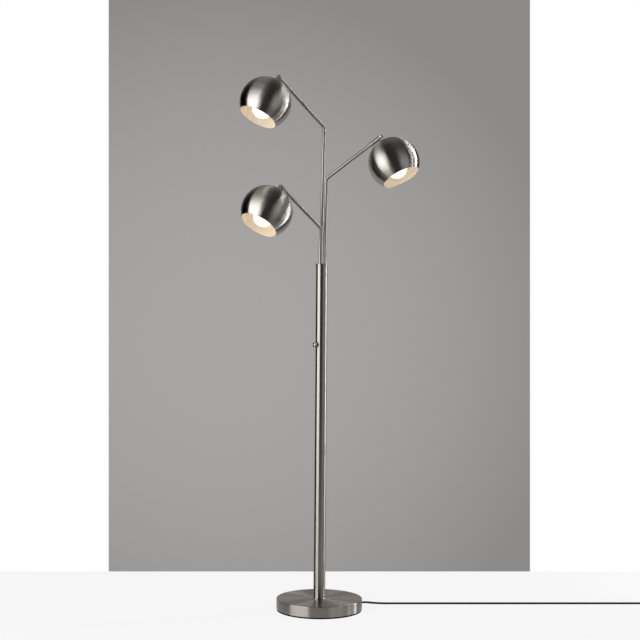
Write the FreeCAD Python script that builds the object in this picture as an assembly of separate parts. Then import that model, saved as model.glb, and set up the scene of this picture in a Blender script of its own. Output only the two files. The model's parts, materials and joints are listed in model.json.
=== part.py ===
import FreeCAD, Part
import math
import os

from FreeCAD import Vector

os.makedirs("parts", exist_ok=True)

# Tree floor lamp: a round weighted base, a pole in three sections with a turn knob,
# and three bent arms that swivel in the pole's cap, each with a tilting round shade.
# Millimetres, +Z up, +Y away from the viewer, origin under the middle of the base.

# ---------------------------------------------------------------- driving sizes
# base
base_diameter = 254.0
base_side = 30.0
base_wall = 1.5
base_edge_round = 0.8
pad_thickness = 4.5
pad_inset = 1.0
weight_gap = 0.3
weight_web = 9.5
weight_rim = 12.2
weight_draft = 3.0
foot_ring_width = 3.4
foot_ring_height = 2.0
nipple_diameter = 10.0
nipple_bore = 8.0
nipple_below_nut = 1.5
nipple_in_foot = 14.0
base_washer_diameter = 40.0
base_washer_thickness = 2.0
base_nut_across = 17.0
base_nut_height = 6.0

# pole
pole_diameter = 35.0
pole_wall = 1.5
pole_section = 329.5
pole_sections = 3
coupler_length = 50.0
coupler_wall = 3.0
pole_foot_height = 18.0
cap_lip = 1.8
cap_lip_height = 4.0
cap_spigot = 18.0
guide_height = 6.0
guide_drop = 62.0
inner_fit = 0.1

# switch and its knob
switch_above_seam = 93.5
switch_azimuth = -135.0
switch_body_diameter = 18.0
switch_body_depth = 16.0
switch_bush_diameter = 10.0
switch_nut_diameter = 14.0
switch_nut_thickness = 2.4
knob_diameter = 14.0
knob_neck_diameter = 9.0
knob_neck_length = 1.4
knob_length = 11.4
knob_flare_length = 2.6
knob_shoulder_width = 0.8
knob_shoulder_height = 1.2
knob_face_height = 3.0
knob_face_edge = 2.2
knob_dome_rise = 0.7
spindle_diameter = 4.0
spindle_in_body = 8.0

# arms: one bent tube each, standing in the pole's cap
arm_diameter = 10.0
arm_wall = 1.0
arm_rise = 36.0
arm_lean = 1.0
arm_bend_radius = 18.0
arm_circle = 8.0
arm_below_guide = 12.0
collar_diameter = 13.0
collar_height = 8.0

# sleeve and tilting joint at the end of each arm
sleeve_diameter = 13.0
sleeve_length = 40.0
sleeve_web = 3.0
sleeve_web_from_pivot = 15.0
sleeve_edge = 0.6
fork_slot = 4.6
fork_slot_depth = 9.5
stud_neck_diameter = 5.0
stud_head_diameter = 9.2
stud_head_length = 3.0
stud_length_in_arm = 18.0
stud_bore = 2.6
pin_diameter = 4.0
pin_head_diameter = 6.6
pin_head_height = 1.4
pin_grip = 11.6
tongue_thickness = 4.0
tongue_width = 9.0
tongue_length = 9.0
stem_length = 2.4
shade_collar_diameter = 14.0

# head: round shade, lamp holder and bulb
shade_diameter = 150.0
shade_wall = 1.0
shade_crown_below_pivot = 14.0
shade_nipple_diameter = 10.0
shade_nipple_length = 9.5
shade_nut_diameter = 18.0
shade_nut_thickness = 2.8
shade_nut_corner = 1.08
socket_diameter = 34.0
socket_wall = 3.0
socket_length = 35.0
socket_neck_diameter = 18.0
socket_seat_depth = 7.5
socket_shoulder_round = 2.5
screw_shell_wall = 0.6
screw_shell_recess = 3.0
screw_shell_hole = 10.0
bulb_cap_diameter = 26.0
bulb_cap_length = 24.0
bulb_below_seat = 2.2
contact_diameter = 9.0
contact_height = 2.0
cap_cone_height = 4.0
bulb_diameter = 60.0
bulb_length = 110.0
bulb_neck_diameter = 28.0
bulb_neck_length = 9.0
bulb_wall = 1.0

# mains lead
cord_diameter = 6.0
cord_exit_azimuth = 27.0
cord_exit_height = 7.5
bushing_flange_diameter = 13.0
bushing_flange_thickness = 2.0
bushing_barrel_diameter = 9.2
bushing_barrel_length = 14.0
bushing_tail_length = 16.0
bushing_root_wall = 1.5
bushing_tip_wall = 0.4
lead_diameter = 5.0
lead_bend_radius = 10.0
coil_outer_radius = 41.0
coil_pitch = 7.2
coil_layer_rise = 7.0
coil_turns_in = 2.0
coil_turns_climb = 0.5
coil_turns_out = 2.5
plug_length = 32.0
plug_width = 25.0
plug_thickness = 19.0
plug_neck_length = 10.0
plug_neck_wall = 1.5
plug_shoulder_length = 8.0
plug_waist_length = 6.0
plug_face_length = 8.0
plug_root_share = 0.62
plug_waist_share = 0.86
plug_corner_share = 0.55
blade_length = 16.0
blade_width = 6.3
blade_thickness = 1.5
blade_spacing = 12.7

# clearances
running_fit = 0.05
side_gap = 0.3
fixed_fit = 0.02
axial_gap = 0.15
thread_gap = 0.2
# how far a cutting tool runs past the face it cuts
cut_over = 1.0

# each arm: elbow's rise over the pole, elbow to tilt pivot, azimuth, its hole's azimuth in
# the cap, tilt of the shade's axis from the arm, and roll of the shade about the arm
ARMS = {
    "top": (410.3, 214.6, -141.0, 111.4, 98.4, 3.9),
    "right": (256.7, 204.3, -19.5, -8.6, 96.3, 5.0),
    "left": (109.5, 187.7, -141.5, -128.6, 92.8, -0.5),
}

# the lead on the floor, from the bushing's tip: ahead, aside, and height of its underside
CORD_ROUTE = ((31.3, 7.6, 1.8), (60.8, 9.8, 0.0), (880.8, 38.4, 0.0))
COIL_START = (926.8, 38.2)
cord_straight = 12.0
# how much of the shorter run beside a corner its bend takes up
bend_share = 0.45

# ---------------------------------------------------------------- derived sizes
pad_top = pad_thickness
base_radius = base_diameter / 2
base_top = pad_top + base_side
pole_radius = pole_diameter / 2
pole_inner = pole_radius - pole_wall
pole_top = base_top + pole_section * pole_sections
switch_height = pole_top - pole_section + switch_above_seam
cap_bottom = pole_top - cap_spigot
guide_top = pole_top - guide_drop
guide_bottom = guide_top - guide_height
arm_foot = guide_bottom - arm_below_guide
cord_radius = cord_diameter / 2
chamfer_share = 1 - math.sqrt(0.5)
Z_AXIS = Vector(0, 0, 1)

# heights in a head are counted from its tilt pivot, downwards negative
shade_radius = shade_diameter / 2
shade_inner = shade_radius - shade_wall
shade_crown = -shade_crown_below_pivot
shade_middle = shade_crown - shade_radius
nut_corner = shade_nut_corner * shade_nut_diameter / 2
nut_drop = shade_inner - math.sqrt(shade_inner ** 2 - nut_corner ** 2)
nut_top = shade_crown - shade_wall - nut_drop - fixed_fit
socket_top = nut_top - shade_nut_thickness
socket_seat = socket_top - socket_seat_depth
bulb_base = socket_seat - bulb_below_seat
bulb_tip = bulb_base - bulb_length
shell_inner = bulb_cap_diameter / 2 + thread_gap
collar_top = -(tongue_length + stem_length)
# the shade is cut off level with the bulb's tip
shade_low = shade_middle - bulb_tip


# ---------------------------------------------------------------- helpers
def direction(azimuth, rise=0.0):
    a = math.radians(azimuth)
    e = math.radians(rise)
    return Vector(math.cos(a) * math.cos(e), math.sin(a) * math.cos(e), math.sin(e))


def rod(radius, start, end):
    """A round bar between two points."""
    return Part.makeCylinder(radius, start.distanceToPoint(end), start, end - start)


def ring(outer, inner, z, height):
    """A flat ring or short tube standing on height z."""
    body = Part.makeCylinder(outer, height, Vector(0, 0, z))
    return body.cut(Part.makeCylinder(inner, height + 2 * cut_over, Vector(0, 0, z - cut_over)))


def turned(points):
    """A solid turned about Z from a closed outline of (radius, height) points and arcs.

    An entry with four numbers is an arc: its middle point and its end point."""
    edges = []
    here = Vector(points[0][0], 0, points[0][1])
    first = here
    for p in points[1:] + [points[0][:2]]:
        if len(p) == 4:
            middle, end = Vector(p[0], 0, p[1]), Vector(p[2], 0, p[3])
            edges.append(Part.Arc(here, middle, end).toShape())
        else:
            end = Vector(p[0], 0, p[1])
            if end.distanceToPoint(here) < 1e-7:
                continue
            edges.append(Part.LineSegment(here, end).toShape())
        here = end
    assert here.distanceToPoint(first) < 1e-6
    return Part.Face(Part.Wire(edges)).revolve(Vector(0, 0, 0), Z_AXIS, 360)


def placed(shape, origin, x_axis, z_axis):
    """The shape carried from its own frame to one at origin with the given X and Z."""
    x = Vector(x_axis).normalize()
    z = Vector(z_axis).normalize()
    y = z.cross(x)
    matrix = FreeCAD.Matrix(
        x.x, y.x, z.x, origin.x,
        x.y, y.y, z.y, origin.y,
        x.z, y.z, z.z, origin.z,
        0, 0, 0, 1,
    )
    moved = shape.copy()
    moved.Placement = FreeCAD.Placement(matrix).multiply(moved.Placement)
    return moved


def save(name, *solids):
    """Write one node's file, as a group where it holds several pieces."""
    for s in solids:
        assert s.isValid() and s.Volume > 0, name
    shape = solids[0] if len(solids) == 1 else Part.makeCompound(list(solids))
    shape.exportStep("parts/" + name + ".step")


def hexagon(across, height, z):
    corner = across / 2 / math.cos(math.pi / 6)
    points = [direction(60 * k) * corner + Vector(0, 0, z) for k in range(7)]
    return Part.Face(Part.makePolygon(points)).extrude(Vector(0, 0, height))


def rounded_path(points, radii=None):
    """Straight runs joined by tangent arcs, with each arc's radius."""
    edges, used = [], []
    here = points[0]
    for i in range(1, len(points) - 1):
        before = points[i] - points[i - 1]
        after = points[i + 1] - points[i]
        half_turn = before.getAngle(after) / 2
        if radii is None:
            radius = bend_share * min(before.Length, after.Length) / math.tan(half_turn)
        else:
            radius = radii[i - 1]
        reach = radius * math.tan(half_turn)
        before.normalize()
        after.normalize()
        start = points[i] - before * reach
        end = points[i] + after * reach
        inward = (after - before).normalize()
        depth = radius / math.cos(half_turn) - radius
        edges.append(Part.LineSegment(here, start).toShape())
        edges.append(Part.Arc(start, points[i] + inward * depth, end).toShape())
        used.append(radius)
        here = end
    edges.append(Part.LineSegment(here, points[-1]).toShape())
    return Part.Wire(edges), used


def tube(path, radius, start, heading, bore=0.0):
    """A round tube along a path, solid or with a bore."""
    outside = Part.Wire(Part.makeCircle(radius, start, heading))
    solid = path.makePipeShell([outside], True, False)
    if bore:
        inside = Part.Wire(Part.makeCircle(bore, start, heading))
        solid = solid.cut(path.makePipeShell([inside], True, False))
    return solid


# ---------------------------------------------------------------- base
exit_way = direction(cord_exit_azimuth)
exit_centre = Vector(0, 0, cord_exit_height)


def cord_way(radius, inner_reach):
    """The round way of the mains lead out of the base, for cutting."""
    return rod(radius, exit_centre + exit_way * inner_reach, exit_centre + exit_way * (base_radius + weight_rim))


def build_base():
    barrel = bushing_barrel_diameter / 2 + inner_fit
    slot_from = base_radius - base_wall - weight_gap - weight_rim - cut_over
    slot_floor = exit_centre + exit_way * slot_from
    slot = Part.makeBox(3 * weight_rim, 2 * barrel, 2 * cord_exit_height)
    slot.translate(Vector(0, -barrel, -cord_exit_height))
    slot = placed(slot, slot_floor, exit_way, Z_AXIS)

    pad = Part.makeCylinder(base_radius - pad_inset, pad_thickness)
    save("base_pad", pad.cut(slot.common(Part.makeBox(
        4 * base_radius, 4 * base_radius, pad_thickness,
        Vector(-2 * base_radius, -2 * base_radius, cord_exit_height - barrel)))))

    outer, inner = base_radius, base_radius - base_wall
    r = base_edge_round
    slant = r * chamfer_share
    nipple_way = nipple_diameter / 2 + inner_fit
    cover = turned([
        (nipple_way, base_top - base_wall),
        (nipple_way, base_top),
        (outer - r, base_top),
        (outer - slant, base_top - slant, outer, base_top - r),
        (outer, pad_top),
        (inner, pad_top),
        (inner, base_top - base_wall),
    ])
    save("base_cover", cover.cut(cord_way(barrel, slot_from)))

    weight_radius = inner - weight_gap
    weight_top = base_top - base_wall
    web_bottom = weight_top - weight_web
    weight = turned([
        (nipple_way, web_bottom),
        (nipple_way, weight_top),
        (weight_radius, weight_top),
        (weight_radius, pad_top),
        (weight_radius - weight_rim, pad_top),
        (weight_radius - weight_rim - weight_draft, web_bottom),
    ])
    save("base_weight", weight.cut(slot))

    washer_bottom = web_bottom - base_washer_thickness
    washer_radius = base_washer_diameter / 2
    save("base_washer", ring(washer_radius, nipple_way, washer_bottom, base_washer_thickness))
    nut_bottom = washer_bottom - base_nut_height
    nut = hexagon(base_nut_across, base_nut_height, nut_bottom)
    nipple_radius = nipple_diameter / 2
    nut = nut.cut(Part.makeCylinder(nipple_radius, 3 * base_nut_height,
                                    Vector(0, 0, nut_bottom - base_nut_height)))
    save("base_nut", nut)
    nipple_bottom = nut_bottom + nipple_below_nut
    nipple_top = base_top + nipple_in_foot
    save("base_nipple", ring(nipple_radius, nipple_bore / 2, nipple_bottom, nipple_top - nipple_bottom))

    ring_inner = pole_radius + inner_fit
    ring_outer = pole_radius + foot_ring_width
    save("foot_ring", turned([
        (ring_inner, base_top),
        (ring_outer, base_top),
        (ring_outer, base_top + foot_ring_height / 2),
        (ring_outer - foot_ring_height / 2, base_top + foot_ring_height),
        (ring_inner, base_top + foot_ring_height),
    ]))


# ---------------------------------------------------------------- pole
# the arms stand in the cap side by side and lean a little to the right
arm_up = direction(0, 90 - arm_lean)


def upright_point(name, z):
    """The point at height z on the line that an arm's foot stands on and swings about."""
    hole = ARMS[name][3]
    return direction(hole) * arm_circle + Vector(0, 0, pole_top) + arm_up * ((z - pole_top) / arm_up.z)


def build_pole():
    names = ["pole_lower", "pole_middle", "pole_upper"]
    switch_way = rod(switch_bush_diameter / 2 + inner_fit,
                     Vector(0, 0, switch_height),
                     Vector(0, 0, switch_height) + direction(switch_azimuth) * pole_diameter)
    for k, name in enumerate(names):
        z = base_top + k * pole_section
        section = ring(pole_radius, pole_inner, z, pole_section)
        if z < switch_height < z + pole_section:
            section = section.cut(switch_way)
        save(name, section)

    fit = pole_inner - inner_fit
    joints = [base_top + k * pole_section for k in range(1, pole_sections)]
    save("pole_couplers", *[ring(fit, fit - coupler_wall, z - coupler_length / 2, coupler_length)
                            for z in joints])
    foot = ring(fit, nipple_bore / 2, base_top, pole_foot_height)
    foot = foot.cut(Part.makeCylinder(nipple_diameter / 2, nipple_in_foot, Vector(0, 0, base_top)))
    save("pole_foot", foot)

    lip = pole_radius + cap_lip
    edge = cap_lip / 2
    cap = turned([
        (0, cap_bottom),
        (fit, cap_bottom),
        (fit, pole_top),
        (lip, pole_top),
        (lip, pole_top + cap_lip_height - edge),
        (lip - edge * chamfer_share, pole_top + cap_lip_height - edge * chamfer_share,
         lip - edge, pole_top + cap_lip_height),
        (0, pole_top + cap_lip_height),
    ])
    guide = Part.makeCylinder(fit, guide_height, Vector(0, 0, guide_bottom))
    for name in ARMS:
        bore = rod(arm_diameter / 2 + running_fit, upright_point(name, guide_bottom - cut_over),
                   upright_point(name, pole_top + 2 * cap_lip_height))
        cap = cap.cut(bore)
        guide = guide.cut(bore)
    save("pole_cap", cap)
    save("guide_plate", guide)


# ---------------------------------------------------------------- switch and knob
def build_switch():
    """Modelled along +Z from the pole's axis, then laid along the knob's azimuth."""
    bush_radius = switch_bush_diameter / 2
    body_outer = pole_inner - side_gap
    body_inner = body_outer - switch_body_depth
    spindle_way = spindle_diameter / 2 + running_fit
    nut_outer = pole_radius + switch_nut_thickness
    body = Part.makeCylinder(switch_body_diameter / 2, switch_body_depth, Vector(0, 0, body_inner))
    inner_wall = Part.makeCylinder(pole_inner - inner_fit, 4 * pole_radius, Vector(-2 * pole_radius, 0, 0),
                                   Vector(1, 0, 0))
    body = body.common(inner_wall)
    bush = Part.makeCylinder(bush_radius, nut_outer - body_inner, Vector(0, 0, body_inner))
    spindle_foot = body_outer - spindle_in_body
    body = body.fuse(bush).removeSplitter()
    body = body.cut(Part.makeCylinder(spindle_way, pole_diameter, Vector(0, 0, spindle_foot - axial_gap)))

    nut_radius = switch_nut_diameter / 2
    nut = ring(nut_radius, bush_radius + fixed_fit, pole_radius - switch_nut_thickness,
               2 * switch_nut_thickness)
    outer_wall = Part.makeCylinder(pole_radius, 4 * pole_radius, Vector(-2 * pole_radius, 0, 0),
                                   Vector(1, 0, 0))
    nut = nut.cut(outer_wall)

    root = nut_outer + side_gap
    neck, wide = knob_neck_diameter / 2, knob_diameter / 2
    tip = root + knob_length
    shoulder = root + knob_neck_length + knob_flare_length
    face = wide - knob_face_edge
    dome = (face ** 2 + knob_dome_rise ** 2) / (2 * knob_dome_rise)
    dome_middle = tip - dome + math.sqrt(dome ** 2 - face ** 2 / 4)
    blind_end = tip - knob_face_height
    edge_rise = (knob_face_height - knob_dome_rise) * (1 - chamfer_share)
    knob = turned([
        (spindle_diameter / 2, root),
        (neck, root),
        (neck, root + knob_neck_length),
        (wide - knob_shoulder_width, shoulder - knob_shoulder_height),
        (wide, shoulder),
        (wide, blind_end),
        (wide - knob_face_edge * chamfer_share, blind_end + edge_rise, face, tip - knob_dome_rise),
        (face / 2, dome_middle, 0, tip),
        (0, blind_end),
        (spindle_diameter / 2, blind_end),
    ])
    spindle = Part.makeCylinder(spindle_diameter / 2, blind_end - spindle_foot, Vector(0, 0, spindle_foot))

    centre = Vector(0, 0, switch_height)
    out = direction(switch_azimuth)
    for name, shape in (("switch_body", body), ("switch_nut", nut),
                        ("switch_knob", knob), ("switch_spindle", spindle)):
        save(name, placed(shape, centre, Z_AXIS, out))


# ---------------------------------------------------------------- arms
def arm_frame(name):
    """Where an arm points: elbow, outward way, pivot, tilt axis and the shade's way down."""
    rise, run, azimuth, _, tilt, roll = ARMS[name]
    elbow = upright_point(name, pole_top) + arm_up * rise
    way = FreeCAD.Rotation(Vector(0, 1, 0), arm_lean).multVec(direction(azimuth, arm_rise))
    pivot = elbow + way * run
    level = way.cross(arm_up).normalize()
    under = way.cross(level).normalize()
    r = math.radians(roll)
    hang = under * math.cos(r) + level * math.sin(r)
    t = math.radians(tilt)
    shade_way = way * math.cos(t) + hang * math.sin(t)
    tilt_axis = way.cross(shade_way).normalize()
    return elbow, way, pivot, tilt_axis, shade_way


def build_arm(name):
    elbow, way, pivot, tilt_axis, _ = arm_frame(name)
    bottom = upright_point(name, arm_foot)
    arm_radius = arm_diameter / 2
    end = pivot - way * (sleeve_web_from_pivot + sleeve_web + side_gap)
    path, _ = rounded_path([bottom, elbow, end], [arm_bend_radius])
    save("arm_tube_" + name, tube(path, arm_radius, bottom, arm_up, arm_radius - arm_wall))

    # the collar stands square on the leaning tube, so its low side is the one that rests
    collar_radius = collar_diameter / 2
    collar = ring(collar_radius, arm_radius + fixed_fit, 0, collar_height)
    rest = guide_top + axial_gap + collar_radius * math.tan(math.radians(arm_lean))
    save("arm_collar_" + name, placed(collar, upright_point(name, rest), Vector(0, 1, 0), arm_up))

    # the stud in the arm's end holds the sleeve on and lets it roll
    bore = arm_radius - arm_wall - fixed_fit
    web_inner = sleeve_web_from_pivot + sleeve_web + side_gap
    head_inner = sleeve_web_from_pivot - axial_gap
    stud = turned([
        (stud_bore / 2, -web_inner - stud_length_in_arm),
        (bore, -web_inner - stud_length_in_arm),
        (bore, -web_inner),
        (stud_neck_diameter / 2, -web_inner),
        (stud_neck_diameter / 2, -head_inner),
        (stud_head_diameter / 2, -head_inner),
        (stud_head_diameter / 2, -head_inner + stud_head_length),
        (stud_bore / 2, -head_inner + stud_head_length),
    ])
    save("swivel_stud_" + name, placed(stud, pivot, tilt_axis, way))
    build_sleeve(name, pivot, way, tilt_axis)


def build_sleeve(name, pivot, way, tilt_axis):
    """Modelled along +Z with the tilt pin along X, then laid on the arm's line."""
    outer = sleeve_diameter / 2
    arm_way = arm_diameter / 2 + running_fit
    web_far = -sleeve_web_from_pivot
    web_near = web_far - sleeve_web
    sleeve = turned([
        (arm_way, -sleeve_length),
        (outer - sleeve_edge, -sleeve_length),
        (outer, -sleeve_length + sleeve_edge),
        (outer, outer),
        (0, outer),
        (0, web_far),
        (stud_neck_diameter / 2 + inner_fit, web_far),
        (stud_neck_diameter / 2 + inner_fit, web_near),
        (arm_way, web_near),
    ])
    # the far end is rounded about the pin
    round_end = Part.makeCylinder(outer, 2 * sleeve_diameter, Vector(-sleeve_diameter, 0, 0), Vector(1, 0, 0))
    behind = Part.makeBox(2 * sleeve_diameter, 2 * sleeve_diameter, sleeve_length + cut_over,
                          Vector(-sleeve_diameter, -sleeve_diameter, -sleeve_length - cut_over))
    sleeve = sleeve.common(round_end.fuse(behind))
    head_room = stud_head_diameter / 2 + side_gap
    cavity = Part.makeCylinder(head_room, sleeve_web_from_pivot - fork_slot_depth + cut_over,
                               Vector(0, 0, web_far))
    slot = Part.makeBox(fork_slot, 2 * sleeve_diameter, fork_slot_depth + sleeve_diameter,
                        Vector(-fork_slot / 2, -sleeve_diameter, -fork_slot_depth))
    sleeve = sleeve.cut(cavity).cut(slot)
    pin_radius = pin_diameter / 2
    half_grip = pin_grip / 2
    head_radius = pin_head_diameter / 2
    across = Vector(1, 0, 0)
    sleeve = sleeve.cut(rod(pin_radius + fixed_fit, across * -outer, across * outer))
    for side in (-1, 1):
        seat = rod(head_radius + inner_fit, across * side * half_grip, across * side * sleeve_diameter)
        sleeve = sleeve.cut(seat)
    save("sleeve_" + name, placed(sleeve, pivot, tilt_axis, way))

    pin = rod(pin_radius, across * -half_grip, across * half_grip)
    for side in (-1, 1):
        pin = pin.fuse(rod(head_radius, across * side * half_grip,
                           across * side * (half_grip + pin_head_height)))
    save("tilt_pin_" + name, placed(pin.removeSplitter(), pivot, tilt_axis, way))


# ---------------------------------------------------------------- heads
def build_head(name):
    """Modelled hanging down from the pivot with the tilt pin along X."""
    _, _, pivot, tilt_axis, shade_way = arm_frame(name)
    pieces = {
        "knuckle_": knuckle(),
        "shade_": shade(),
        "shade_nut_": shade_nut(),
        "socket_": socket(),
        "screw_shell_": screw_shell(),
        "bulb_cap_": bulb_cap(),
        "bulb_": bulb_glass(),
    }
    for label, shape in pieces.items():
        save(label + name, placed(shape, pivot, tilt_axis, shade_way * -1))


def knuckle():
    """Tongue on the tilt pin, stem, collar seated on the shade, and threaded nipple."""
    half = tongue_width / 2
    across = Vector(1, 0, 0)
    thick = tongue_thickness / 2
    body = rod(half, across * -thick, across * thick)
    blade = Part.makeBox(tongue_thickness, tongue_width, tongue_length,
                         Vector(-thick, -half, -tongue_length))
    body = body.fuse(blade)
    stem = Part.makeCylinder(half, stem_length, Vector(0, 0, collar_top))
    seat = Part.makeCylinder(shade_collar_diameter / 2, collar_top - shade_crown + cut_over,
                             Vector(0, 0, shade_crown - cut_over))
    seat = seat.cut(Part.makeSphere(shade_radius, Vector(0, 0, shade_middle)))
    nipple = Part.makeCylinder(shade_nipple_diameter / 2, shade_nipple_length,
                               Vector(0, 0, shade_crown - shade_nipple_length))
    core = Part.makeCylinder(half, collar_top - shade_crown + cut_over,
                             Vector(0, 0, shade_crown - cut_over))
    body = body.fuse([stem, seat, core, nipple]).removeSplitter()
    bore = rod(pin_diameter / 2 + running_fit, across * -tongue_width, across * tongue_width)
    return body.cut(bore)


def shade():
    """Round shell, open below, with a rounded lip and a hole at its crown."""
    middle, outer, inner, low = shade_middle, shade_radius, shade_inner, shade_low
    hole = shade_nipple_diameter / 2 + inner_fit
    rim_outer = math.sqrt(outer ** 2 - low ** 2)
    rim_inner = math.sqrt(inner ** 2 - low ** 2)
    lip = (rim_outer - rim_inner) / 2
    return turned([
        (hole, middle + math.sqrt(inner ** 2 - hole ** 2)),
        (hole, middle + math.sqrt(outer ** 2 - hole ** 2)),
        (outer, middle, rim_outer, middle - low),
        (rim_outer - lip, middle - low - lip, rim_inner, middle - low),
        (inner, middle, hole, middle + math.sqrt(inner ** 2 - hole ** 2)),
    ])


def shade_nut():
    nut = hexagon(shade_nut_diameter, shade_nut_thickness, nut_top - shade_nut_thickness)
    below = Vector(0, 0, nut_top - 2 * shade_nut_thickness)
    nut = nut.common(Part.makeCylinder(nut_corner, 3 * shade_nut_thickness, below))
    return nut.cut(Part.makeCylinder(shade_nipple_diameter / 2, 3 * shade_nut_thickness, below))


def socket():
    """Lamp holder: a shouldered cup round the screw shell."""
    outer = socket_diameter / 2
    neck = socket_neck_diameter / 2
    bottom = socket_top - socket_length
    shell_outer = shell_inner + screw_shell_wall + inner_fit
    soft = socket_shoulder_round
    return turned([
        (shade_nipple_diameter / 2 + inner_fit, socket_top),
        (outer - soft, socket_top),
        (outer - soft * chamfer_share, socket_top - soft * chamfer_share,
         outer, socket_top - soft),
        (outer, bottom),
        (shell_outer, bottom),
        (shell_outer, socket_seat),
        (neck, socket_seat),
        (neck, socket_top - socket_wall),
        (shade_nipple_diameter / 2 + inner_fit, socket_top - socket_wall),
    ])


def screw_shell():
    """Brass cup that takes the bulb's cap."""
    outer = shell_inner + screw_shell_wall
    floor = socket_seat - screw_shell_wall
    bottom = socket_top - socket_length + screw_shell_recess
    hole = screw_shell_hole / 2
    return turned([
        (hole, socket_seat),
        (outer, socket_seat),
        (outer, bottom),
        (shell_inner, bottom),
        (shell_inner, floor),
        (hole, floor),
    ])


def bulb_cap():
    """Screw cap with its solder contact."""
    radius = bulb_cap_diameter / 2
    top = bulb_base
    contact = contact_diameter / 2
    return turned([
        (0, top),
        (contact, top),
        (contact, top - contact_height),
        (radius, top - contact_height - cap_cone_height),
        (radius, top - bulb_cap_length),
        (0, top - bulb_cap_length),
    ])


def pear(inset):
    """A neck, a cone and a ball that meet without a corner, drawn in by an inset."""
    ball = bulb_diameter / 2 - inset
    neck = bulb_neck_diameter / 2 - inset
    top = bulb_base - bulb_cap_length - inset
    neck_end = bulb_base - bulb_cap_length - bulb_neck_length
    middle = bulb_tip + bulb_diameter / 2
    gap = math.hypot(neck, neck_end - middle)
    lean = math.atan2(neck, neck_end - middle)
    touch = lean + math.acos(ball / gap)
    low = math.radians(20)
    return turned([
        (0, top),
        (bulb_cap_diameter / 2 - inset, top),
        (neck, neck_end),
        (ball * math.sin(touch), middle + ball * math.cos(touch)),
        (ball * math.cos(low), middle - ball * math.sin(low), 0, middle - ball),
    ])


def bulb_glass():
    """Hollow pear-shaped bulb."""
    return pear(0).cut(pear(bulb_wall))


# ---------------------------------------------------------------- mains lead
def build_lead():
    """Strain relief in the base's side, and the lead inside; gives where the free lead starts."""
    barrel = bushing_barrel_diameter / 2
    flange = bushing_flange_diameter / 2
    tail_end = bushing_flange_thickness + bushing_tail_length
    outline = [
        (0, -bushing_barrel_length),
        (barrel, -bushing_barrel_length),
        (barrel, 0),
        (flange, 0),
        (flange, bushing_flange_thickness),
        (cord_radius + bushing_root_wall, bushing_flange_thickness),
        (cord_radius + bushing_tip_wall, tail_end),
        (0, tail_end),
    ]
    at = exit_centre + exit_way * base_radius
    bushing = placed(turned(outline), at, Z_AXIS, exit_way)
    hull = Part.makeCylinder(base_radius - fixed_fit, 4 * base_side, Vector(0, 0, -base_side))
    keep = placed(Part.makeCylinder(barrel, bushing_barrel_length + tail_end,
                                    Vector(0, 0, -bushing_barrel_length)), at, Z_AXIS, exit_way)
    save("cord_bushing", bushing.cut(hull).fuse(bushing.common(keep)).removeSplitter())

    inner_end = exit_centre + exit_way * (base_radius - bushing_barrel_length)
    body_bottom = switch_height - switch_body_diameter / 2 - side_gap
    path, _ = rounded_path([inner_end, exit_centre, Vector(0, 0, body_bottom)], [lead_bend_radius])
    save("inner_lead", tube(path, lead_diameter / 2, inner_end, exit_way * -1))
    return at + exit_way * tail_end


def biarc(p0, t0, p1, t1):
    """Two arcs that leave p0 along t0 and reach p1 along t1."""
    v = p1 - p0
    t = t0 + t1
    spread = 2 * (1 - t0.dot(t1))
    vt = v.dot(t)
    if spread < 1e-9:
        reach = v.dot(v) / (4 * v.dot(t1))
    else:
        reach = (-vt + math.sqrt(vt * vt + spread * v.dot(v))) / spread
    q0 = p0 + t0 * reach
    q1 = p1 - t1 * reach
    joint = (q0 + q1) * 0.5
    edges = []
    for start, corner, end in ((p0, q0, joint), (joint, q1, p1)):
        a = (corner - start).normalize()
        b = (end - corner).normalize()
        half_turn = a.getAngle(b) / 2
        leg = corner.distanceToPoint(start)
        radius = leg / math.tan(half_turn)
        depth = radius / math.cos(half_turn) - radius
        inward = (b - a).normalize()
        edges.append(Part.Arc(start, corner + inward * depth, end).toShape())
    return edges


def coil_point(turn):
    """A point of the coil's middle line, from its own centre, after so many turns."""
    climb_end = coil_turns_in + coil_turns_climb
    inner = coil_outer_radius - coil_pitch * coil_turns_in
    if turn <= coil_turns_in:
        radius, height = coil_outer_radius - coil_pitch * turn, 0.0
    elif turn < climb_end:
        share = (turn - coil_turns_in) / coil_turns_climb
        dip = coil_pitch * coil_turns_climb / 4
        radius = inner - dip * (1 - (2 * share - 1) ** 2)
        height = coil_layer_rise * (3 * share ** 2 - 2 * share ** 3)
    else:
        radius, height = inner + coil_pitch * (turn - climb_end), coil_layer_rise
    angle = math.radians(360 * turn - 90)
    return Vector(radius * math.cos(angle), radius * math.sin(angle), height + cord_radius)


def coil_heading(turn):
    step = 0.01
    return (coil_point(max(turn, step) + step) - coil_point(max(turn, step) - step)).normalize()


def least_gap(points, radius, apart):
    """The least gap of a tube to itself, on points of its middle line."""
    least = 1e9
    for i in range(len(points)):
        for j in range(i + apart, len(points)):
            least = min(least, points[i].distanceToPoint(points[j]))
    return least - 2 * radius


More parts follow.
